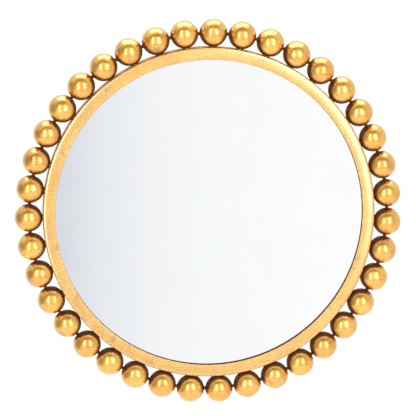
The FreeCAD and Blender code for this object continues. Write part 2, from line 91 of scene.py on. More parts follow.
def calculate(tree, operation, *values):
    """A sum of numbers or (node, output) pairs, as such a pair itself."""
    sockets = {f"in_{place}": value for place, value in enumerate(values)}
    return add_node(tree, "ShaderNodeMath", {"operation": operation}, **sockets), "Value"


def vector_sum(tree, operation, *values, output="Vector", **sockets):
    """A sum of vectors, as a (node, output) pair."""
    sockets.update({f"in_{place}": value for place, value in enumerate(values)})
    return add_node(tree, "ShaderNodeVectorMath", {"operation": operation}, **sockets), output


WHOLE = (0.0, 1.0)


def remap(tree, value, source, target=WHOLE, kind="LINEAR"):
    """Carries one range over to another, as a (node, output) pair."""
    return add_node(tree, "ShaderNodeMapRange", {"interpolation_type": kind}, Value=value,
                    From_Min=source[0], From_Max=source[1],
                    To_Min=target[0], To_Max=target[1]), "Result"


def ease(tree, value, source, target=WHOLE):
    """The same, with a soft start and end."""
    return remap(tree, value, source, target, "SMOOTHSTEP")


def blend(tree, factor, first, second):
    """A mix of two colours, as a (node, output) pair. A hex text stands for its colour."""
    first, second = (linear(c) if isinstance(c, str) else c for c in (first, second))
    return add_node(tree, "ShaderNodeMix", {"data_type": "RGBA"}, Factor=factor,
                    in_6=first, in_7=second), 2


def add_ramp(tree, factor, stops):
    """A colour ramp. stops are (position, hex colour)."""
    ramp = add_node(tree, "ShaderNodeValToRGB", Fac=factor)
    elements = ramp.color_ramp.elements
    while len(elements) < len(stops):
        elements.new(0.5)
    for element, (position, colour) in zip(elements, stops):
        element.position = position
        element.color = linear(colour)
    return ramp, "Color"


print("sample:", [round(c, 3) for c in linear("f7c464")])


# %% Materials and objects
def new_material(name):
    """An empty material, with its main shader and its node tree."""
    material = bpy.data.materials.new(name)
    material.use_nodes = True
    tree = material.node_tree
    return material, tree.nodes["Principled BSDF"], tree


def drive(tree, shader, **sockets):
    """Links (node, output) pairs to the shader's inputs, named with underscores."""
    for name, (source, output) in sockets.items():
        tree.links.new(source.outputs[output], shader.inputs[name.replace("_", " ")])


def add_noise(tree, vector, size_mm, detail, roughness=0.5):
    """Noise at a real size, as a (node, output) pair."""
    return add_node(tree, "ShaderNodeTexNoise", Vector=vector, Scale=1 / (size_mm * MM),
                    Detail=detail, Roughness=roughness), "Fac"


def add_bump(tree, shader, height, height_mm):
    bump = add_node(tree, "ShaderNodeBump", Strength=1.0, Distance=height_mm * MM, Height=height)
    drive(tree, shader, Normal=(bump, "Normal"))


def add_object(name, data):
    """A new object in the scene, at the origin."""
    added = bpy.data.objects.new(name, data)
    bpy.context.scene.collection.objects.link(added)
    return added


# %% [markdown]
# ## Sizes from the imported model
# The mirror is a body of revolution, so each ring is known by its nearest and farthest point from
# the axis and by its depth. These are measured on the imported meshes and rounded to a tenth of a
# millimetre, which takes out the small error of their flat facets.

# %% Measure
def radii(name):
    """Smallest and largest distance of a node's points from the mirror's axis."""
    spread = [math.hypot(v.co.x, v.co.z) for v in nodes[name].data.vertices]
    return round(min(spread), 4), round(max(spread), 4)


def depths(name):
    """Front and back of a node along Y."""
    low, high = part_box(name)
    return round(low[1], 4), round(high[1], 4)


BALL_NODES = sorted(name for name in nodes if name.startswith("ball_") and name[5:].isdigit())
BALL_COUNT = len(BALL_NODES)
PITCH = 2 * math.pi / BALL_COUNT
ball_front, ball_back = depths(BALL_NODES[0])
BALL_RADIUS = round((ball_back - ball_front) / 2, 4)
BALL_DEPTH = round((ball_back + ball_front) / 2, 4)
BALL_CIRCLE = round(radii(BALL_NODES[0])[1] - BALL_RADIUS, 4)
top_low, top_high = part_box(BALL_NODES[0])
TOP_BALL_TURN = math.atan2(top_low[0] + top_high[0], top_low[2] + top_high[2])
FACE_INNER, HOOP_OUTER = radii("front_ring")
FACE_FRONT, FACE_BACK = depths("front_ring")
HOOP_INNER = radii("side_band")[0]
HOOP_BACK = depths("side_band")[1]
print("ball", BALL_RADIUS, "on", BALL_CIRCLE, "hoop", HOOP_INNER, HOOP_OUTER, "face", FACE_INNER)

# %% [markdown]
# ## Gold leaf
# Metal leaf is beaten alloy, far thinner than paper, laid over glue and pressed down with a soft
# brush. It is a true metal to the eye: warm, bright and satin, with small dents where it follows
# the brush, a slow drift of tone from leaf to leaf, and specks where the brown glue shows. Shade
# is painted in as well: a mask that the mesh carries as an attribute turns the gold amber, then
# brown and dull, where the balls face the hoop, round the pins, on the hoop's outer side and on
# its inner edge, in place of the shade and dark reflections that fall there.

# %% Gold leaf
DRIFT_MM = 30
SMUDGE_MM = 26
GLUE = "b4822c"
RUBBED_LEAF = "9a7034"
# painted shade: amber where it is light, brown where it is deep
PAINTED_HALF_SHADE = "f2b43a"
PAINTED_DEEP_SHADE = "6e4826"
GLANCING_TINT = "eedcb4"
SATIN_SPREAD = 0.05


def gold_leaf(name, tones, roughness, dent_mm, dent_height_mm, lacquer_roughness,
              lacquer_ior=1.75, grain_mm=4.0, mottling=0.3, leaf_count=0):
    """Leaf in three tones: dark, middle and light. leaf_count lays that many sheets in a ring."""
    material, shader, tree = new_material(name)
    here = (add_node(tree, "ShaderNodeTexCoord"), "Object")
    drift = add_noise(tree, here, DRIFT_MM, 3.0)
    leaf = add_ramp(tree, drift, list(zip((0.3, 0.5, 0.7), tones)))
    if leaf_count:
        # each sheet of leaf is a little lighter or darker than the ones that it laps
        axes = add_node(tree, "ShaderNodeSeparateXYZ", Vector=here)
        angle = calculate(tree, "ARCTAN2", (axes, "X"), (axes, "Z"))
        place_in_ring = calculate(tree, "MULTIPLY", angle, leaf_count / (2 * math.pi))
        sheet = calculate(tree, "FLOOR", place_in_ring)
        chance = add_node(tree, "ShaderNodeTexWhiteNoise", {"noise_dimensions": "1D"}, W=sheet)
        shade = remap(tree, (chance, "Value"), WHOLE, (0.95, 1.0))
        leaf = vector_sum(tree, "SCALE", leaf, Scale=shade)
    # fine mottling: the red-brown glue shows through the thinnest places
    grain = add_noise(tree, here, grain_mm, 4.0, 0.6)
    mottled = blend(tree, ease(tree, grain, (0.46, 0.64), (0.0, mottling)), leaf, GLUE)
    # smudges a few centimetres apart, where the leaf was rubbed
    smudge = ease(tree, add_noise(tree, here, SMUDGE_MM, 3.0, 0.6), (0.6, 0.72), (0.0, 0.6))
    rubbed = blend(tree, smudge, mottled, RUBBED_LEAF)
    # painted shade in the crevices, with a ragged edge
    painted_shade = add_node(tree, "ShaderNodeAttribute", {"attribute_name": "painted_shade"})
    ragged_shade = calculate(tree, "MULTIPLY_ADD", grain, 0.3, (painted_shade, "Fac"))
    shade_mask = ease(tree, ragged_shade, (0.4, 1.0))
    deep_shade = calculate(tree, "POWER", shade_mask, 2.5)
    shade_painted = blend(tree, deep_shade, blend(tree, shade_mask, rubbed, PAINTED_HALF_SHADE), PAINTED_DEEP_SHADE)
    satin = remap(tree, grain, (0.3, 0.7), (roughness - SATIN_SPREAD, roughness + SATIN_SPREAD))
    drive(tree, shader, Base_Color=shade_painted,
          Roughness=calculate(tree, "MULTIPLY_ADD", shade_mask, 0.25, satin),
          # where the painted shade is deep the leaf is made less metallic, so that it stays dark
          Metallic=remap(tree, deep_shade, WHOLE, (1.0, 0.45)),
          # lacquer adds the pale part of each highlight, but hardly any over the painted shade
          Coat_Weight=remap(tree, shade_mask, WHOLE, (1.0, 0.1)))
    add_bump(tree, shader, add_noise(tree, here, dent_mm, 3.0), dent_height_mm)
    # beaten leaf does not whiten at a glancing angle as a polished casting does
    shader.inputs["Specular Tint"].default_value = linear(GLANCING_TINT)
    shader.inputs["Coat Roughness"].default_value = lacquer_roughness
    shader.inputs["Coat IOR"].default_value = lacquer_ior
    return material


BALL_LEAF = gold_leaf(
    "brushed gold leaf on steel balls", ("de9e28", "eeb236", "f6c24a"), roughness=0.31,
    dent_mm=8.0, dent_height_mm=0.45, lacquer_roughness=0.17, lacquer_ior=1.85, mottling=0.4)
FACE_LEAF = gold_leaf(
    "lacquered gold leaf on a flat ring", ("d8aa20", "e2b428", "eabe36"), roughness=0.4,
    dent_mm=9.0, dent_height_mm=0.08, lacquer_roughness=0.22, lacquer_ior=2.45, grain_mm=2.6,
    mottling=0.9, leaf_count=24)
# the band's tones are darker than the face's as painted shade, for the hoop's outer side
SHADED_BAND_LEAF = gold_leaf(
    "gold leaf on a rolled band in painted shade", ("b07e24", "c09030", "cca242"), roughness=0.38,
    dent_mm=6.0, dent_height_mm=0.08, lacquer_roughness=0.3, lacquer_ior=1.35)
# braze in the necks between the balls; painted shade covers its own tones
BRAZE = gold_leaf(
    "gilded braze between balls in painted shade", ("7c5a28", "94702f", "b08a46"), roughness=0.36,
    dent_mm=1.6, dent_height_mm=0.12, lacquer_roughness=0.3)
PALE_BRAZE = gold_leaf(
    "bright braze on the hoop", ("b88a3c", "cca04e", "dcb468"), roughness=0.36,
    dent_mm=1.6, dent_height_mm=0.12, lacquer_roughness=0.3)
print("gold:", [m.name for m in (BALL_LEAF, FACE_LEAF, SHADED_BAND_LEAF, BRAZE, PALE_BRAZE)])

# %% [markdown]
# ## Geometry Nodes helpers
# Everything that repeats round the mirror is made by a small node tree: points on a circle, one
# shape instanced on them, and the instances made real so that they export. The tree's sizes are
# named inputs. A modifier finds an input by its identifier, which is looked up from its name.

# %% Node trees for geometry
def new_geometry_tree(name, sizes):
    """A geometry tree. sizes are {input's name: value}; whole numbers become integer inputs."""
    tree = bpy.data.node_groups.new(name, "GeometryNodeTree")
    tree.interface.new_socket("Geometry", in_out="OUTPUT", socket_type="NodeSocketGeometry")
    for label, value in sizes.items():
        kind = "NodeSocketInt" if isinstance(value, int) else "NodeSocketFloat"
        tree.interface.new_socket(label, in_out="INPUT", socket_type=kind)
    return tree, tree.nodes.new("NodeGroupInput")


def finish_tree(tree, geometry, material):
    """Ends a tree in Realize Instances and Set Material."""
    real = add_node(tree, "GeometryNodeRealizeInstances", Geometry=geometry)
    painted = add_node(tree, "GeometryNodeSetMaterial", Geometry=(real, "Geometry"),
                       Material=material)
    add_node(tree, "NodeGroupOutput", Geometry=(painted, "Geometry"))


def run_tree(tree, name, sizes):
    """Runs a tree with its sizes and keeps the result as a plain mesh object at the origin."""
    piece = add_object(name, bpy.data.meshes.new(name))
    modifier = piece.modifiers.new("build", "NODES")
    modifier.node_group = tree
    identifiers = {item.name: item.identifier for item in tree.interface.items_tree
                   if item.in_out == "INPUT"}
    for label, value in sizes.items():
        modifier[identifiers[label]] = value
    evaluated = piece.evaluated_get(bpy.context.evaluated_depsgraph_get())
    mesh = bpy.data.meshes.new_from_object(evaluated)
    piece.modifiers.remove(modifier)
    piece.data = mesh
    mesh.name = name
    # the tree's own shapes leave an empty slot in front of the one that it sets
    material = next(m for m in mesh.materials if m)
    mesh.materials.clear()
    mesh.materials.append(material)
    mesh.polygons.foreach_set("material_index", [0] * len(mesh.polygons))
    print(name, "faces:", len(mesh.polygons), "of", material.name)
    return piece


def add_circle_of_points(tree, group, lean=0.0):
    """Points round the axis, with a turn for each that points its +Z outwards and leans it on."""
    index = add_node(tree, "GeometryNodeInputIndex")
    step = calculate(tree, "DIVIDE", 2 * math.pi, (group, "Count"))
    angle = calculate(tree, "MULTIPLY_ADD", (index, "Index"), step, (group, "First Angle"))
    x, z = (calculate(tree, "MULTIPLY", calculate(tree, operation, angle), (group, "Circle Radius"))
            for operation in ("SINE", "COSINE"))
    spot = add_node(tree, "ShaderNodeCombineXYZ", X=x, Y=(group, "Depth"), Z=z)
    turn = add_node(tree, "ShaderNodeCombineXYZ", Y=calculate(tree, "ADD", angle, lean))
    points = add_node(tree, "GeometryNodePoints", Count=(group, "Count"),
                      Position=(spot, "Vector"))
    return (points, "Geometry"), (turn, "Vector")


def put_on_points(tree, points, turn, shape):
    """One shape on every point."""
    return add_node(tree, "GeometryNodeInstanceOnPoints", Points=points, Instance=shape,
                    Rotation=turn), "Instances"


def push_surface(tree, instances, distance):
    """Makes instances real, moves their surface along its normal and smooths its shading."""
    real = add_node(tree, "GeometryNodeRealizeInstances", Geometry=instances)
    normal = add_node(tree, "GeometryNodeInputNormal")
    push = vector_sum(tree, "SCALE", (normal, "Normal"), Scale=distance)
    pushed = add_node(tree, "GeometryNodeSetPosition", Geometry=(real, "Geometry"), Offset=push)
    return add_node(tree, "GeometryNodeSetShadeSmooth", Geometry=(pushed, "Geometry")), "Geometry"


def store_painted_shade(tree, geometry, amount):
    """Stores how much painted shade lies on each point, for gold_leaf to read."""
    return add_node(tree, "GeometryNodeStoreNamedAttribute",
                    {"data_type": "FLOAT", "domain": "POINT"},
                    Geometry=geometry, Name="painted_shade", Value=amount), "Geometry"


# %% [markdown]
# ## The ring of balls
# Thirty-nine hollow steel balls, alike but for the dents that leafing left in them. A UV sphere
# would pinch the reflections at its poles, so each is an icosphere. Once the instances are real,
# a noise read at each ball's own place pushes its surface inwards by a fraction of a millimetre:
# no two are the same, and none grows past its true size.

# %% Balls
NOISE_SPAN = (0.25, 0.75)


def painted_shade_of_ball(tree):
    """Painted shade: the side that faces the hoop, and round each pin, where shade and dark
    reflections fall.
    """
    position = add_node(tree, "GeometryNodeInputPosition")
    unit = vector_sum(tree, "NORMALIZE", (position, "Position"))
    axes = add_node(tree, "ShaderNodeSeparateXYZ", Vector=unit)
    facing_hoop = ease(tree, (axes, "Z"), (0.2, -0.15))
    off_front = ease(tree, (axes, "Y"), (-0.82, -0.5))
    off_back = ease(tree, (axes, "Y"), (0.85, 0.4))
    sides = calculate(tree, "MULTIPLY", off_front, off_back)
    inner_side = calculate(tree, "MULTIPLY", sides, facing_hoop)
    near_pin = ease(tree, calculate(tree, "ABSOLUTE", (axes, "X")), (0.82, 0.95))
    return calculate(tree, "MAXIMUM", inner_side, near_pin)


def make_balls():
    sizes = {"Ball Radius": BALL_RADIUS, "Circle Radius": BALL_CIRCLE,
             "First Angle": TOP_BALL_TURN, "Depth": BALL_DEPTH, "Count": BALL_COUNT,
             "Dent Depth": 0.35 * MM, "Dent Width": 17 * MM}
    tree, group = new_geometry_tree("ring of dented balls", sizes)
    points, turn = add_circle_of_points(tree, group)
    ball = add_node(tree, "GeometryNodeMeshIcoSphere", Radius=(group, "Ball Radius"),
                    Subdivisions=5)
    masked = store_painted_shade(tree, (ball, "Mesh"), painted_shade_of_ball(tree))
    ring = put_on_points(tree, points, turn, masked)
    fineness = calculate(tree, "DIVIDE", 1.0, (group, "Dent Width"))
    noise = add_node(tree, "ShaderNodeTexNoise", Scale=fineness, Detail=1.0)
    inwards = remap(tree, (noise, "Fac"), NOISE_SPAN, (-1.0, 0.0))
    depth = calculate(tree, "MULTIPLY", inwards, (group, "Dent Depth"))
    finish_tree(tree, push_surface(tree, ring, depth), BALL_LEAF)
    return run_tree(tree, "gilded_balls", sizes)


balls = make_balls()
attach(balls, BODY)
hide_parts(*BALL_NODES)

# %% [markdown]
# ## Braze between the balls, and between balls and hoop
# A pin joins each ball to the next, and a peg joins it to the hoop. Molten braze was run round
# both and drew itself into a hollow-sided collar, wide where it wets the metal and narrow in the
# middle. One normalised cylinder is narrowed by the square of its height, which is that shape,
# and a noise makes each collar a little uneven.

# %% Collars
LUMP_WIDTH = 3 * MM
LUMP_HEIGHT = 0.5 * MM


def make_collars(name, replaced, sizes, lean, material):
    tree, group = new_geometry_tree(name + " tree", sizes)
    points, turn = add_circle_of_points(tree, group, lean)
    rod = add_node(tree, "GeometryNodeMeshCylinder", Vertices=20, Side_Segments=10, Radius=1.0,
                   Depth=2.0)
    position = add_node(tree, "GeometryNodeInputPosition")
    axes = add_node(tree, "ShaderNodeSeparateXYZ", Vector=(position, "Position"))
    square = calculate(tree, "MULTIPLY", (axes, "Z"), (axes, "Z"))
    width = add_node(tree, "ShaderNodeMix", {"clamp_factor": False}, Factor=square,
                     in_2=(group, "Waist Radius"), in_3=(group, "Flare Radius"))
    size = add_node(tree, "ShaderNodeCombineXYZ", X=(width, 0), Y=(width, 0),
                    Z=(group, "Half Length"))
    formed = vector_sum(tree, "MULTIPLY", (position, "Position"), (size, "Vector"))
    collar = add_node(tree, "GeometryNodeSetPosition", Geometry=(rod, "Mesh"), Position=formed)
    ring = put_on_points(tree, points, turn, (collar, "Geometry"))
    noise = add_node(tree, "ShaderNodeTexNoise", Scale=1 / LUMP_WIDTH, Detail=1.0)
    lumps = remap(tree, (noise, "Fac"), NOISE_SPAN, (-LUMP_HEIGHT, LUMP_HEIGHT))
    shade_painted = store_painted_shade(tree, push_surface(tree, ring, lumps), (group, "Painted Shade"))
    finish_tree(tree, shade_painted, material)
    collars = run_tree(tree, name, sizes)
    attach(collars, BODY)
    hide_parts(replaced)


gap = 2 * BALL_CIRCLE * math.sin(PITCH / 2) - 2 * BALL_RADIUS
standoff = BALL_CIRCLE - BALL_RADIUS - HOOP_OUTER
print("gap between balls mm:", round(gap / MM, 2), "to the hoop mm:", round(standoff / MM, 2))
# the collars between the balls are painted in full shade; the collars on the hoop carry none
make_collars("braze_between_balls", "ball_link_pins", {
    "Count": BALL_COUNT, "Circle Radius": BALL_CIRCLE * math.cos(PITCH / 2), "Depth": BALL_DEPTH,
    "First Angle": TOP_BALL_TURN + PITCH / 2, "Waist Radius": 2.7 * MM, "Flare Radius": 5.0 * MM,
    "Half Length": gap / 2 + 1.0 * MM, "Painted Shade": 1.0}, lean=math.pi / 2, material=BRAZE)
make_collars("braze_on_hoop", "ball_pegs", {
    "Count": BALL_COUNT, "Circle Radius": HOOP_OUTER + standoff / 2, "Depth": BALL_DEPTH,
    "First Angle": TOP_BALL_TURN, "Waist Radius": 6.2 * MM, "Flare Radius": 9.2 * MM,
    "Half Length": 2.5 * MM, "Painted Shade": 0.0}, lean=0.0, material=PALE_BRAZE)

# %% [markdown]
# ## The hoop
# The hoop is a flat ring cut from sheet, welded to a band rolled from strip. Both are turned
# shapes, so a short closed profile swept round the axis is all that they need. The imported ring
# shows its straight segments this close, so it is swept again in finer steps.

# %% Lathe
def lathe(name, profile, steps, material, shade_at):
    """Sweeps a closed profile of (radius, depth) points round the mirror's axis.

    The last argument gives how much painted shade, from 0 to 1, lies on a point of the profile.
    """
    built = bmesh.new()
    rings = []
    for i in range(steps):
        angle = 2 * math.pi * i / steps
        sine, cosine = math.sin(angle), math.cos(angle)
        rings.append([built.verts.new((r * sine, depth, r * cosine)) for r, depth in profile])
    for i, ring in enumerate(rings):
        following = rings[(i + 1) % steps]
        for j in range(len(profile)):
            k = (j + 1) % len(profile)
            built.faces.new((ring[j], ring[k], following[k], following[j]))
    bmesh.ops.recalc_face_normals(built, faces=built.faces)
    mesh = bpy.data.meshes.new(name)
    built.to_mesh(mesh)
    built.free()
    marks = mesh.attributes.new("painted_shade", "FLOAT", "POINT")
    marks.data.foreach_set("value", [shade_at(*point) for point in profile] * steps)
    mesh.materials.append(material)
    mesh.shade_smooth()
    print(name, "faces:", len(mesh.polygons))
    return add_object(name, mesh)


def rounded_corner(radius, depth, size, start, end, steps=6):
    """Points of a rounded corner about the centre (radius, depth), from start to end in degrees."""
    angles = [math.radians(start + (end - start) * i / steps) for i in range(steps + 1)]
    return [(radius + size * math.cos(a), depth + size * math.sin(a)) for a in angles]


# %% Ring and band
RING_STEPS = 360
ROLLED_EDGE = 2.0 * MM
BEVEL_WIDTH = 2.4 * MM
BEVEL_DROP = 0.6 * MM
BROKEN_EDGE = 0.8 * MM
CROWN = 0.35 * MM
FACE_STEPS = 8
LIP = 0.1 * MM
# how much painted shade the hoop's outer side carries
SIDE_SHADE = 0.62
face_width = HOOP_OUTER - FACE_INNER - ROLLED_EDGE - BEVEL_WIDTH - BROKEN_EDGE


def crowned(share):
    """Depth of the face at a share of its width: the rolls left it a little proud in the middle."""
    return FACE_FRONT + CROWN * (2 * share - 1) ** 2


ring_profile = (
    [(HOOP_OUTER, FACE_BACK)]
    + rounded_corner(HOOP_OUTER - ROLLED_EDGE, FACE_FRONT + CROWN + BEVEL_DROP + ROLLED_EDGE,
                     ROLLED_EDGE, 0, -70)
    + [(HOOP_OUTER - ROLLED_EDGE - BEVEL_WIDTH * 0.9, FACE_FRONT + CROWN + BEVEL_DROP * 0.08)]
    + [(FACE_INNER + BROKEN_EDGE + face_width * i / FACE_STEPS, crowned(i / FACE_STEPS))
       for i in range(FACE_STEPS, -1, -1)]
    + rounded_corner(FACE_INNER + BROKEN_EDGE, FACE_FRONT + CROWN + BROKEN_EDGE, BROKEN_EDGE,
                     -95, -180)
    + [(FACE_INNER, FACE_BACK - LIP), (FACE_INNER, FACE_BACK), (FACE_INNER + LIP, FACE_BACK)]
)


def painted_shade_on_ring(radius, depth):
    """Painted shade: deep on the inner edge and the back, lighter on the outer side, none on the
    face.
    """
    if radius < FACE_INNER + 0.5 * MM or depth > FACE_BACK - 0.2 * MM:
        return 1.0
    return SIDE_SHADE if radius > HOOP_OUTER - ROLLED_EDGE * 0.75 else 0.0


front_ring = lathe("gilded_front_ring", ring_profile, RING_STEPS, FACE_LEAF, painted_shade_on_ring)
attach(front_ring, BODY)
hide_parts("front_ring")

CUT_EDGE = 0.4 * MM
BAND_SHARES = (0.0, 0.03, 0.5, 0.97, 1.0)
band_length = HOOP_BACK - CUT_EDGE - FACE_BACK
band_profile = (
    [(HOOP_OUTER, FACE_BACK + band_length * share) for share in BAND_SHARES]
    + [(HOOP_OUTER - CUT_EDGE, HOOP_BACK), (HOOP_INNER + CUT_EDGE, HOOP_BACK)]
    + [(HOOP_INNER, FACE_BACK + band_length * share) for share in reversed(BAND_SHARES)]
)
# the whole band also carries the outer side's painted shade
side_band = lathe("gilded_side_band", band_profile, RING_STEPS, SHADED_BAND_LEAF,
                  lambda radius, depth: SIDE_SHADE)
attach(side_band, BODY)
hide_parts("side_band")

# %% [markdown]
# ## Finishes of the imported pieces
# The glass carries its silver on the back, so the eye meets the reflection about two thirds of the
# way into the slab, and the frame's inner edge stands a little apart from its own reflection. The
# slab is drawn from that depth, which saves tracing light through clear glass. The foam is full
# of pores, the board is pressed fibre with a darker sawn edge, the hangers and clips are zinc
# plated with faint rubbing marks, and the pads are clear soft plastic.

# %% Glass, foam, board, zinc, pads
def object_noise(tree, size_mm, detail, stretch=(1.0, 1.0, 1.0)):
    """Noise at a real size on the piece. stretch makes it finer along an axis."""
    place = add_node(tree, "ShaderNodeTexCoord")
    stretched = add_node(tree, "ShaderNodeMapping", Vector=(place, "Object"), Scale=stretch)
    return add_noise(tree, (stretched, "Vector"), size_mm, detail)


def silvered_glass():
    """The silver of a mirror: near-perfect reflection, with the faintest haze from wiping."""
    material, shader, tree = new_material("float glass silvered on the back")
    haze = object_noise(tree, 60, 4.0)
    drive(tree, shader, Base_Color=blend(tree, haze, "fbfdfc", "ffffff"),
          Roughness=remap(tree, haze, (0.3, 0.7), (0.0, 0.012)))
    shader.inputs["Metallic"].default_value = 1.0
    return material


def foam():
    """Closed-cell foam: dull black, with pores a little over half a millimetre apart."""
    material, shader, tree = new_material("black closed-cell foam")
    place = add_node(tree, "ShaderNodeTexCoord")
    cells = (add_node(tree, "ShaderNodeTexVoronoi", Vector=(place, "Object"),
                      Scale=1 / (0.6 * MM)), "Distance")
    drive(tree, shader, Base_Color=blend(tree, cells, "141414", "3a3a3a"))
    shader.inputs["Roughness"].default_value = 0.92
    add_bump(tree, shader, cells, 0.1)
    return material


def fibreboard():
    """Pressed wood fibre: a mat of short fibres, with a darker sawn edge."""
    material, shader, tree = new_material("pressed fibreboard")
    mat = object_noise(tree, 2.2, 8.0, (1.0, 1.0, 2.6))
    cloud = object_noise(tree, 70, 3.0)
    mixed = calculate(tree, "MULTIPLY_ADD", cloud, 0.25, mat)
    tone = add_ramp(tree, mixed, [(0.45, "6e5232"), (0.62, "927250"), (0.8, "ac8c62")])
    place = add_node(tree, "ShaderNodeTexCoord")
    flat = vector_sum(tree, "MULTIPLY", (place, "Object"), (1, 0, 1))
    radius = vector_sum(tree, "LENGTH", flat, output="Value")
    edge = radii("backing_board")[1]
    sawn = remap(tree, radius, (edge - 1.2 * MM, edge - 0.1 * MM), (0.0, 0.75))
    drive(tree, shader, Base_Color=blend(tree, sawn, tone, "4a3420"),
          Roughness=remap(tree, mat, WHOLE, (0.62, 0.85)))
    add_bump(tree, shader, mat, 0.12)
    return material


def zinc_plate():
    """Bright zinc on pressed steel: bluish white, with rubbing marks that run one way."""
    material, shader, tree = new_material("zinc plated steel")
    cloud = object_noise(tree, 9, 4.0)
    rubs = object_noise(tree, 1.4, 5.0, (0.2, 1.0, 3.0))
    drive(tree, shader, Base_Color=blend(tree, cloud, "a8acb2", "dcdfe4"),
          Roughness=remap(tree, rubs, (0.3, 0.7), (0.24, 0.42)))
    shader.inputs["Metallic"].default_value = 1.0
    add_bump(tree, shader, rubs, 0.02)
    return material


def clear_pad():
    """Cast polyurethane: nearly clear, with a faint cloud and a softly pebbled skin."""
    material, shader, tree = new_material("clear cast polyurethane")
    cloud = object_noise(tree, 3, 4.0)
    drive(tree, shader, Base_Color=blend(tree, cloud, "dfe3e0", "f4f6f4"))
    shader.inputs["Transmission Weight"].default_value = 0.85
    shader.inputs["Roughness"].default_value = 0.18
    shader.inputs["IOR"].default_value = 1.5
    add_bump(tree, shader, cloud, 0.03)
    return material


ZINC = zinc_plate()
SILVER = silvered_glass()
FINISHES = {"foam_tape": foam(), "backing_board": fibreboard(), "wall_pads": clear_pad()}
for name, node in nodes.items():
    finish = FINISHES.get(name)
    is_hardware = name.startswith(("clip_", "hanger_strap", "d_ring"))
    if is_hardware and not name.endswith("screws"):
        finish = ZINC
    if finish is not None:
        node.data.materials.clear()
        node.data.materials.append(finish)
        print(name, "is", finish.name)

# %% Mirror glass
REFRACTIVE_INDEX = 1.52


def make_mirror():
    glass_front, glass_back = depths("mirror_glass")
    silver_depth = glass_front + (glass_back - glass_front) / REFRACTIVE_INDEX
    radius = radii("mirror_glass")[1]
    built = bmesh.new()
    bmesh.ops.create_cone(built, cap_ends=True, segments=RING_STEPS, radius1=radius,
                          radius2=radius, depth=glass_back - silver_depth)
    mesh = bpy.data.meshes.new("silvered_mirror")
    built.to_mesh(mesh)
    built.free()
    middle = Matrix.Translation((0, (glass_back + silver_depth) / 2, 0))
    mesh.transform(middle @ Matrix.Rotation(math.pi / 2, 4, "X"))
    mesh.materials.append(SILVER)
    mirror = add_object("silvered_mirror", mesh)
    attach(mirror, BODY)
    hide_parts("mirror_glass")
    print("silver seen at", round(silver_depth / MM, 2), "mm")


make_mirror()

# %% [markdown]
# ## Screws
# Pan-head screws with a cross recess hold the clips and the hangers. One shank and one head with
# two slots cut from it are made once and put where each screw belongs: round the hoop with the
# heads inwards, or in two columns on the board with the heads towards the wall.

# %% Screws
HEAD_RADIUS = 3.5 * MM
HEAD_HEIGHT = 2.2 * MM


def add_grid_of_points(tree, group):
    """Two columns of two points on the back of the board, turned so that -Z is the wall side."""
    grid = add_node(tree, "GeometryNodeMeshGrid", Size_X=(group, "Column Spacing"),
                    Size_Y=(group, "Row Spacing"), Vertices_X=2, Vertices_Y=2)
    middle = add_node(tree, "ShaderNodeCombineXYZ", Y=(group, "Depth"), Z=(group, "Height"))
    placed = add_node(tree, "GeometryNodeTransform", Geometry=(grid, "Mesh"),
                      Translation=(middle, "Vector"), Rotation=(math.pi / 2, 0.0, 0.0))
    turn = add_node(tree, "ShaderNodeCombineXYZ", X=math.pi / 2)
    return (placed, "Geometry"), (turn, "Vector")


def add_domed_head(tree, group):
    """A head that stands on its own underside and points down -Z."""
    blank = add_node(tree, "GeometryNodeMeshCylinder", Vertices=48, Side_Segments=8, Radius=1.0,
                     Depth=1.0)
    position = add_node(tree, "GeometryNodeInputPosition")
    axes = add_node(tree, "ShaderNodeSeparateXYZ", Vector=(position, "Position"))
    dome = calculate(tree, "POWER", calculate(tree, "SUBTRACT", 0.5, (axes, "Z")), 4.0)
    share = calculate(tree, "MULTIPLY_ADD", dome, -0.3, 1.0)
    width = calculate(tree, "MULTIPLY", share, (group, "Head Radius"))
    size = add_node(tree, "ShaderNodeCombineXYZ", X=width, Y=width, Z=(group, "Head Height"))
    scaled = vector_sum(tree, "MULTIPLY", (position, "Position"), (size, "Vector"))
    half = calculate(tree, "MULTIPLY", (group, "Head Height"), -0.5)
    drop = add_node(tree, "ShaderNodeCombineXYZ", Z=half)
    stood = vector_sum(tree, "ADD", scaled, (drop, "Vector"))
    head = add_node(tree, "GeometryNodeSetPosition", Geometry=(blank, "Mesh"), Position=stood)
    return head, "Geometry"


def cut_cross(tree, group, head):
    """Two slots cut the cross."""
    deep = calculate(tree, "MULTIPLY", (group, "Slot Depth"), 2.0)
    top = calculate(tree, "MULTIPLY", (group, "Head Height"), -1.0)
    at_top = add_node(tree, "ShaderNodeCombineXYZ", Z=top)
    for along, across in (("Slot Length", "Slot Width"), ("Slot Width", "Slot Length")):
        span = add_node(tree, "ShaderNodeCombineXYZ", X=(group, along), Y=(group, across), Z=deep)
        slot = add_node(tree, "GeometryNodeMeshCube", Size=(span, "Vector"))
        sunk = add_node(tree, "GeometryNodeTransform", Geometry=(slot, "Mesh"),
                        Translation=(at_top, "Vector"))
        head = (add_node(tree, "GeometryNodeMeshBoolean",
                         {"operation": "DIFFERENCE", "solver": "EXACT"},
                         Mesh_1=head, Mesh_2=(sunk, "Geometry")), "Mesh")
    return head


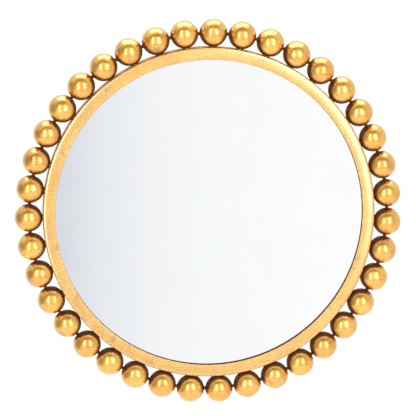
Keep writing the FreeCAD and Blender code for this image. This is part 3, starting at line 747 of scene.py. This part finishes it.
def make_screws(name, replaced, sizes, add_points):
    sizes = {**sizes, "Head Radius": HEAD_RADIUS, "Head Height": HEAD_HEIGHT,
             "Slot Length": 4.2 * MM, "Slot Width": 1.1 * MM, "Slot Depth": 1.3 * MM}
    tree, group = new_geometry_tree(name + " tree", sizes)
    points, turn = add_points(tree, group)
    head, output = cut_cross(tree, group, add_domed_head(tree, group))
    shank = add_node(tree, "GeometryNodeMeshCylinder", Vertices=24,
                     Radius=(group, "Shank Radius"), Depth=(group, "Shank Length"))
    below = add_node(tree, "ShaderNodeCombineXYZ",
                     Z=calculate(tree, "MULTIPLY", (group, "Shank Length"), 0.5))
    seated = add_node(tree, "GeometryNodeTransform", Geometry=(shank, "Mesh"),
                      Translation=(below, "Vector"))
    screw = add_node(tree, "GeometryNodeJoinGeometry", Geometry=(seated, "Geometry"))
    tree.links.new(head.outputs[output], screw.inputs["Geometry"])
    finish_tree(tree, put_on_points(tree, points, turn, (screw, "Geometry")), ZINC)
    screws = run_tree(tree, name, sizes)
    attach(screws, BODY)
    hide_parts(replaced)


# %% Place the screws
SHORT_OF_SURFACE = 0.2 * MM
clip_count = sum(name.startswith("clip_") and name[5:].isdigit() for name in nodes)
clip_seat = radii("clip_screws")[0] + HEAD_HEIGHT
make_screws("zinc_clip_screws", "clip_screws", {
    "Count": clip_count, "First Angle": TOP_BALL_TURN, "Circle Radius": clip_seat,
    "Depth": sum(depths("clip_screws")) / 2, "Shank Radius": 2.0 * MM,
    "Shank Length": HOOP_OUTER - clip_seat - SHORT_OF_SURFACE}, add_circle_of_points)
hanger_low, hanger_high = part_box("hanger_screws")
hanger_seat = hanger_high[1] - HEAD_HEIGHT
make_screws("zinc_hanger_screws", "hanger_screws", {
    "Column Spacing": hanger_high[0] - hanger_low[0] - 2 * HEAD_RADIUS,
    "Row Spacing": hanger_high[2] - hanger_low[2] - 2 * HEAD_RADIUS,
    "Height": (hanger_low[2] + hanger_high[2]) / 2, "Depth": hanger_seat,
    "Shank Radius": 1.75 * MM, "Shank Length": hanger_seat - hanger_low[1]}, add_grid_of_points)

# %% [markdown]
# ## Camera
# The camera stands a little to the left of the mirror and a little above it, five metres away,
# with a long lens. It comes before the lamps, because a photographer places the lamps by where
# they show in the polished balls, and that is measured from the camera's direction.

# %% Camera
CAMERA_AZIMUTH = math.radians(-5.5)
CAMERA_ELEVATION = math.radians(9)
CAMERA_ROLL = math.radians(0.41)
CAMERA_DISTANCE = 5.0
LENS_MM = 239.6
CENTRE = Vector((0, BALL_DEPTH, 0))
LOOK_AT = CENTRE + Vector((-1.8 * MM, 0, 7.9 * MM))


def direction(azimuth, elevation):
    """Unit vector seen from the mirror: azimuth 0 is straight out into the room."""
    return Vector((math.sin(azimuth) * math.cos(elevation),
                   -math.cos(azimuth) * math.cos(elevation), math.sin(elevation)))


camera_data = bpy.data.cameras.new("camera")
camera_data.lens = LENS_MM
camera = add_object("camera", camera_data)
camera.location = CENTRE + direction(CAMERA_AZIMUTH, CAMERA_ELEVATION) * CAMERA_DISTANCE
camera.rotation_mode = "QUATERNION"
looking = (LOOK_AT - camera.location).to_track_quat("-Z", "Y")
camera.rotation_quaternion = looking @ Quaternion((0, 0, 1), CAMERA_ROLL)
bpy.context.scene.camera = camera
print("camera at", [round(v, 3) for v in camera.location])

# %% [markdown]
# ## Studio
# A white room. The balls show it in small: a soft box overhead, a bright upright strip on the
# left of the camera, a wider and fainter soft box on its right, and a dark arch where the unlit
# upper part of the room stands behind the camera. The flat mirror shows only the wall behind the
# camera, pale grey at one side and white at the other.

# %% World
WALL_TONES = [(0.34, "ffffff"), (0.454, "d3d6de"), (0.479, "d8dbe2"), (0.51, "e7eaef"),
              (0.547, "f3f4f6"), (0.59, "f8f9fb"), (0.665, "fdfdfd")]
ARCH_TONE = "98948f"
FAR_LEFT_TONE = "b4b0ac"
BOUNCED_STRENGTH = 0.75


def direct_rays(tree):
    """1 for what the camera sees, itself or in metal or glass; 0 for light that bounced."""
    rays = add_node(tree, "ShaderNodeLightPath")
    mirrored = calculate(tree, "MAXIMUM", (rays, "Is Camera Ray"), (rays, "Is Glossy Ray"))
    return rays, calculate(tree, "MAXIMUM", mirrored, (rays, "Is Transmission Ray"))


def make_world():
    world = bpy.data.worlds.new("studio")
    world.use_nodes = True
    bpy.context.scene.world = world
    tree = world.node_tree
    tree.nodes.clear()
    ray = (add_node(tree, "ShaderNodeTexCoord"), "Generated")
    axes = add_node(tree, "ShaderNodeSeparateXYZ", Vector=ray)
    # the wall behind the camera, from grey at the left of the mirror's view to white at its right
    wall = add_ramp(tree, remap(tree, (axes, "X"), (-0.2, 0.3)), WALL_TONES)
    # the dark arch, by the angle from the camera's direction
    towards_camera = direction(CAMERA_AZIMUTH, CAMERA_ELEVATION)
    near = vector_sum(tree, "DOT_PRODUCT", ray, towards_camera, output="Value")
    outside = ease(tree, near, (0.86, 0.7))
    inside = ease(tree, near, (0.36, 0.58))
    band = calculate(tree, "MULTIPLY", outside, inside)
    rise = calculate(tree, "MULTIPLY_ADD", (axes, "X"), -0.25, (axes, "Z"))
    arch = calculate(tree, "MULTIPLY", band, ease(tree, rise, (-0.35, 0.75)))
    arched = blend(tree, arch, wall, ARCH_TONE)
    behind = ease(tree, (axes, "Y"), (-0.2, 0.1))
    leftwards = ease(tree, (axes, "X"), (-0.78, -0.96))
    toned = blend(tree, leftwards, blend(tree, behind, arched, "ffffff"), FAR_LEFT_TONE)
    # the camera sees plain white; metal and glass see the room at the same strength
    rays, direct = direct_rays(tree)
    seen = blend(tree, (rays, "Is Camera Ray"), toned, "ffffff")
    back = add_node(tree, "ShaderNodeBackground", Color=seen,
                    Strength=remap(tree, direct, WHOLE, (BOUNCED_STRENGTH, 1.0)))
    add_node(tree, "ShaderNodeOutputWorld", Surface=(back, "Background"))


make_world()

# %% Lamps
def add_lamp(name, azimuth, elevation, distance, half_width, half_height, radiance, colour):
    """A soft box seen from the mirror at angles, in degrees, from the camera's direction."""
    light = bpy.data.lights.new(name, "AREA")
    light.shape = "RECTANGLE"
    light.size = 2 * distance * math.tan(math.radians(half_width))
    light.size_y = 2 * distance * math.tan(math.radians(half_height))
    light.energy = radiance * math.pi * light.size * light.size_y
    light.color = linear(colour)[:3]
    lamp = add_object(name, light)
    towards = direction(CAMERA_AZIMUTH + math.radians(azimuth),
                        CAMERA_ELEVATION + math.radians(elevation))
    lamp.location = CENTRE + towards * distance
    lamp.rotation_mode = "QUATERNION"
    lamp.rotation_quaternion = (-towards).to_track_quat("-Z", "Y")
    lamp.visible_camera = False
    print(name, "power W:", round(light.energy))


add_lamp("overhead soft box", azimuth=0, elevation=95, distance=2.6, half_width=30,
         half_height=18.5, radiance=3.0, colour="fbf4ff")
add_lamp("left strip", azimuth=-24, elevation=0, distance=4.0, half_width=4, half_height=25,
         radiance=7.2, colour="ffe4f6")
add_lamp("right soft box", azimuth=28.5, elevation=5, distance=4.0, half_width=10,
         half_height=23, radiance=4.4, colour="ffe4f6")

# %% [markdown]
# ## Floor
# A plain pale floor well below the mirror. A little glow of its own, seen by the camera and in
# metal and glass, lets it meet the white background and still darken where the mirror's shadow
# falls.

# %% Floor
FLOOR_DROP = 1.5
FLOOR_HALF = 2.8
FLOOR_GLOW = 0.25
floor_corners = [(x * FLOOR_HALF, y * FLOOR_HALF, -FLOOR_DROP)
                 for x, y in ((-1, -1), (1, -1), (1, 1), (-1, 1))]
floor_mesh = bpy.data.meshes.new("floor")
floor_mesh.from_pydata(floor_corners, [], [(0, 1, 2, 3)])
floor_material, floor_shader, floor_tree = new_material("pale painted floor")
floor_shader.inputs["Base Color"].default_value = linear("f6f6f6")
floor_shader.inputs["Roughness"].default_value = 0.7
floor_shader.inputs["Emission Color"].default_value = linear("ffffff")
floor_glow = calculate(floor_tree, "MULTIPLY", direct_rays(floor_tree)[1], FLOOR_GLOW)
drive(floor_tree, floor_shader, Emission_Strength=floor_glow)
floor_mesh.materials.append(floor_material)
floor = add_object("floor", floor_mesh)

# %% [markdown]
# ## Colours
# The Standard view shows each colour about as it is written, with no film curve over it. Dressing
# may not make the mirror larger.

# %% View settings
bpy.context.scene.view_settings.view_transform = "Standard"
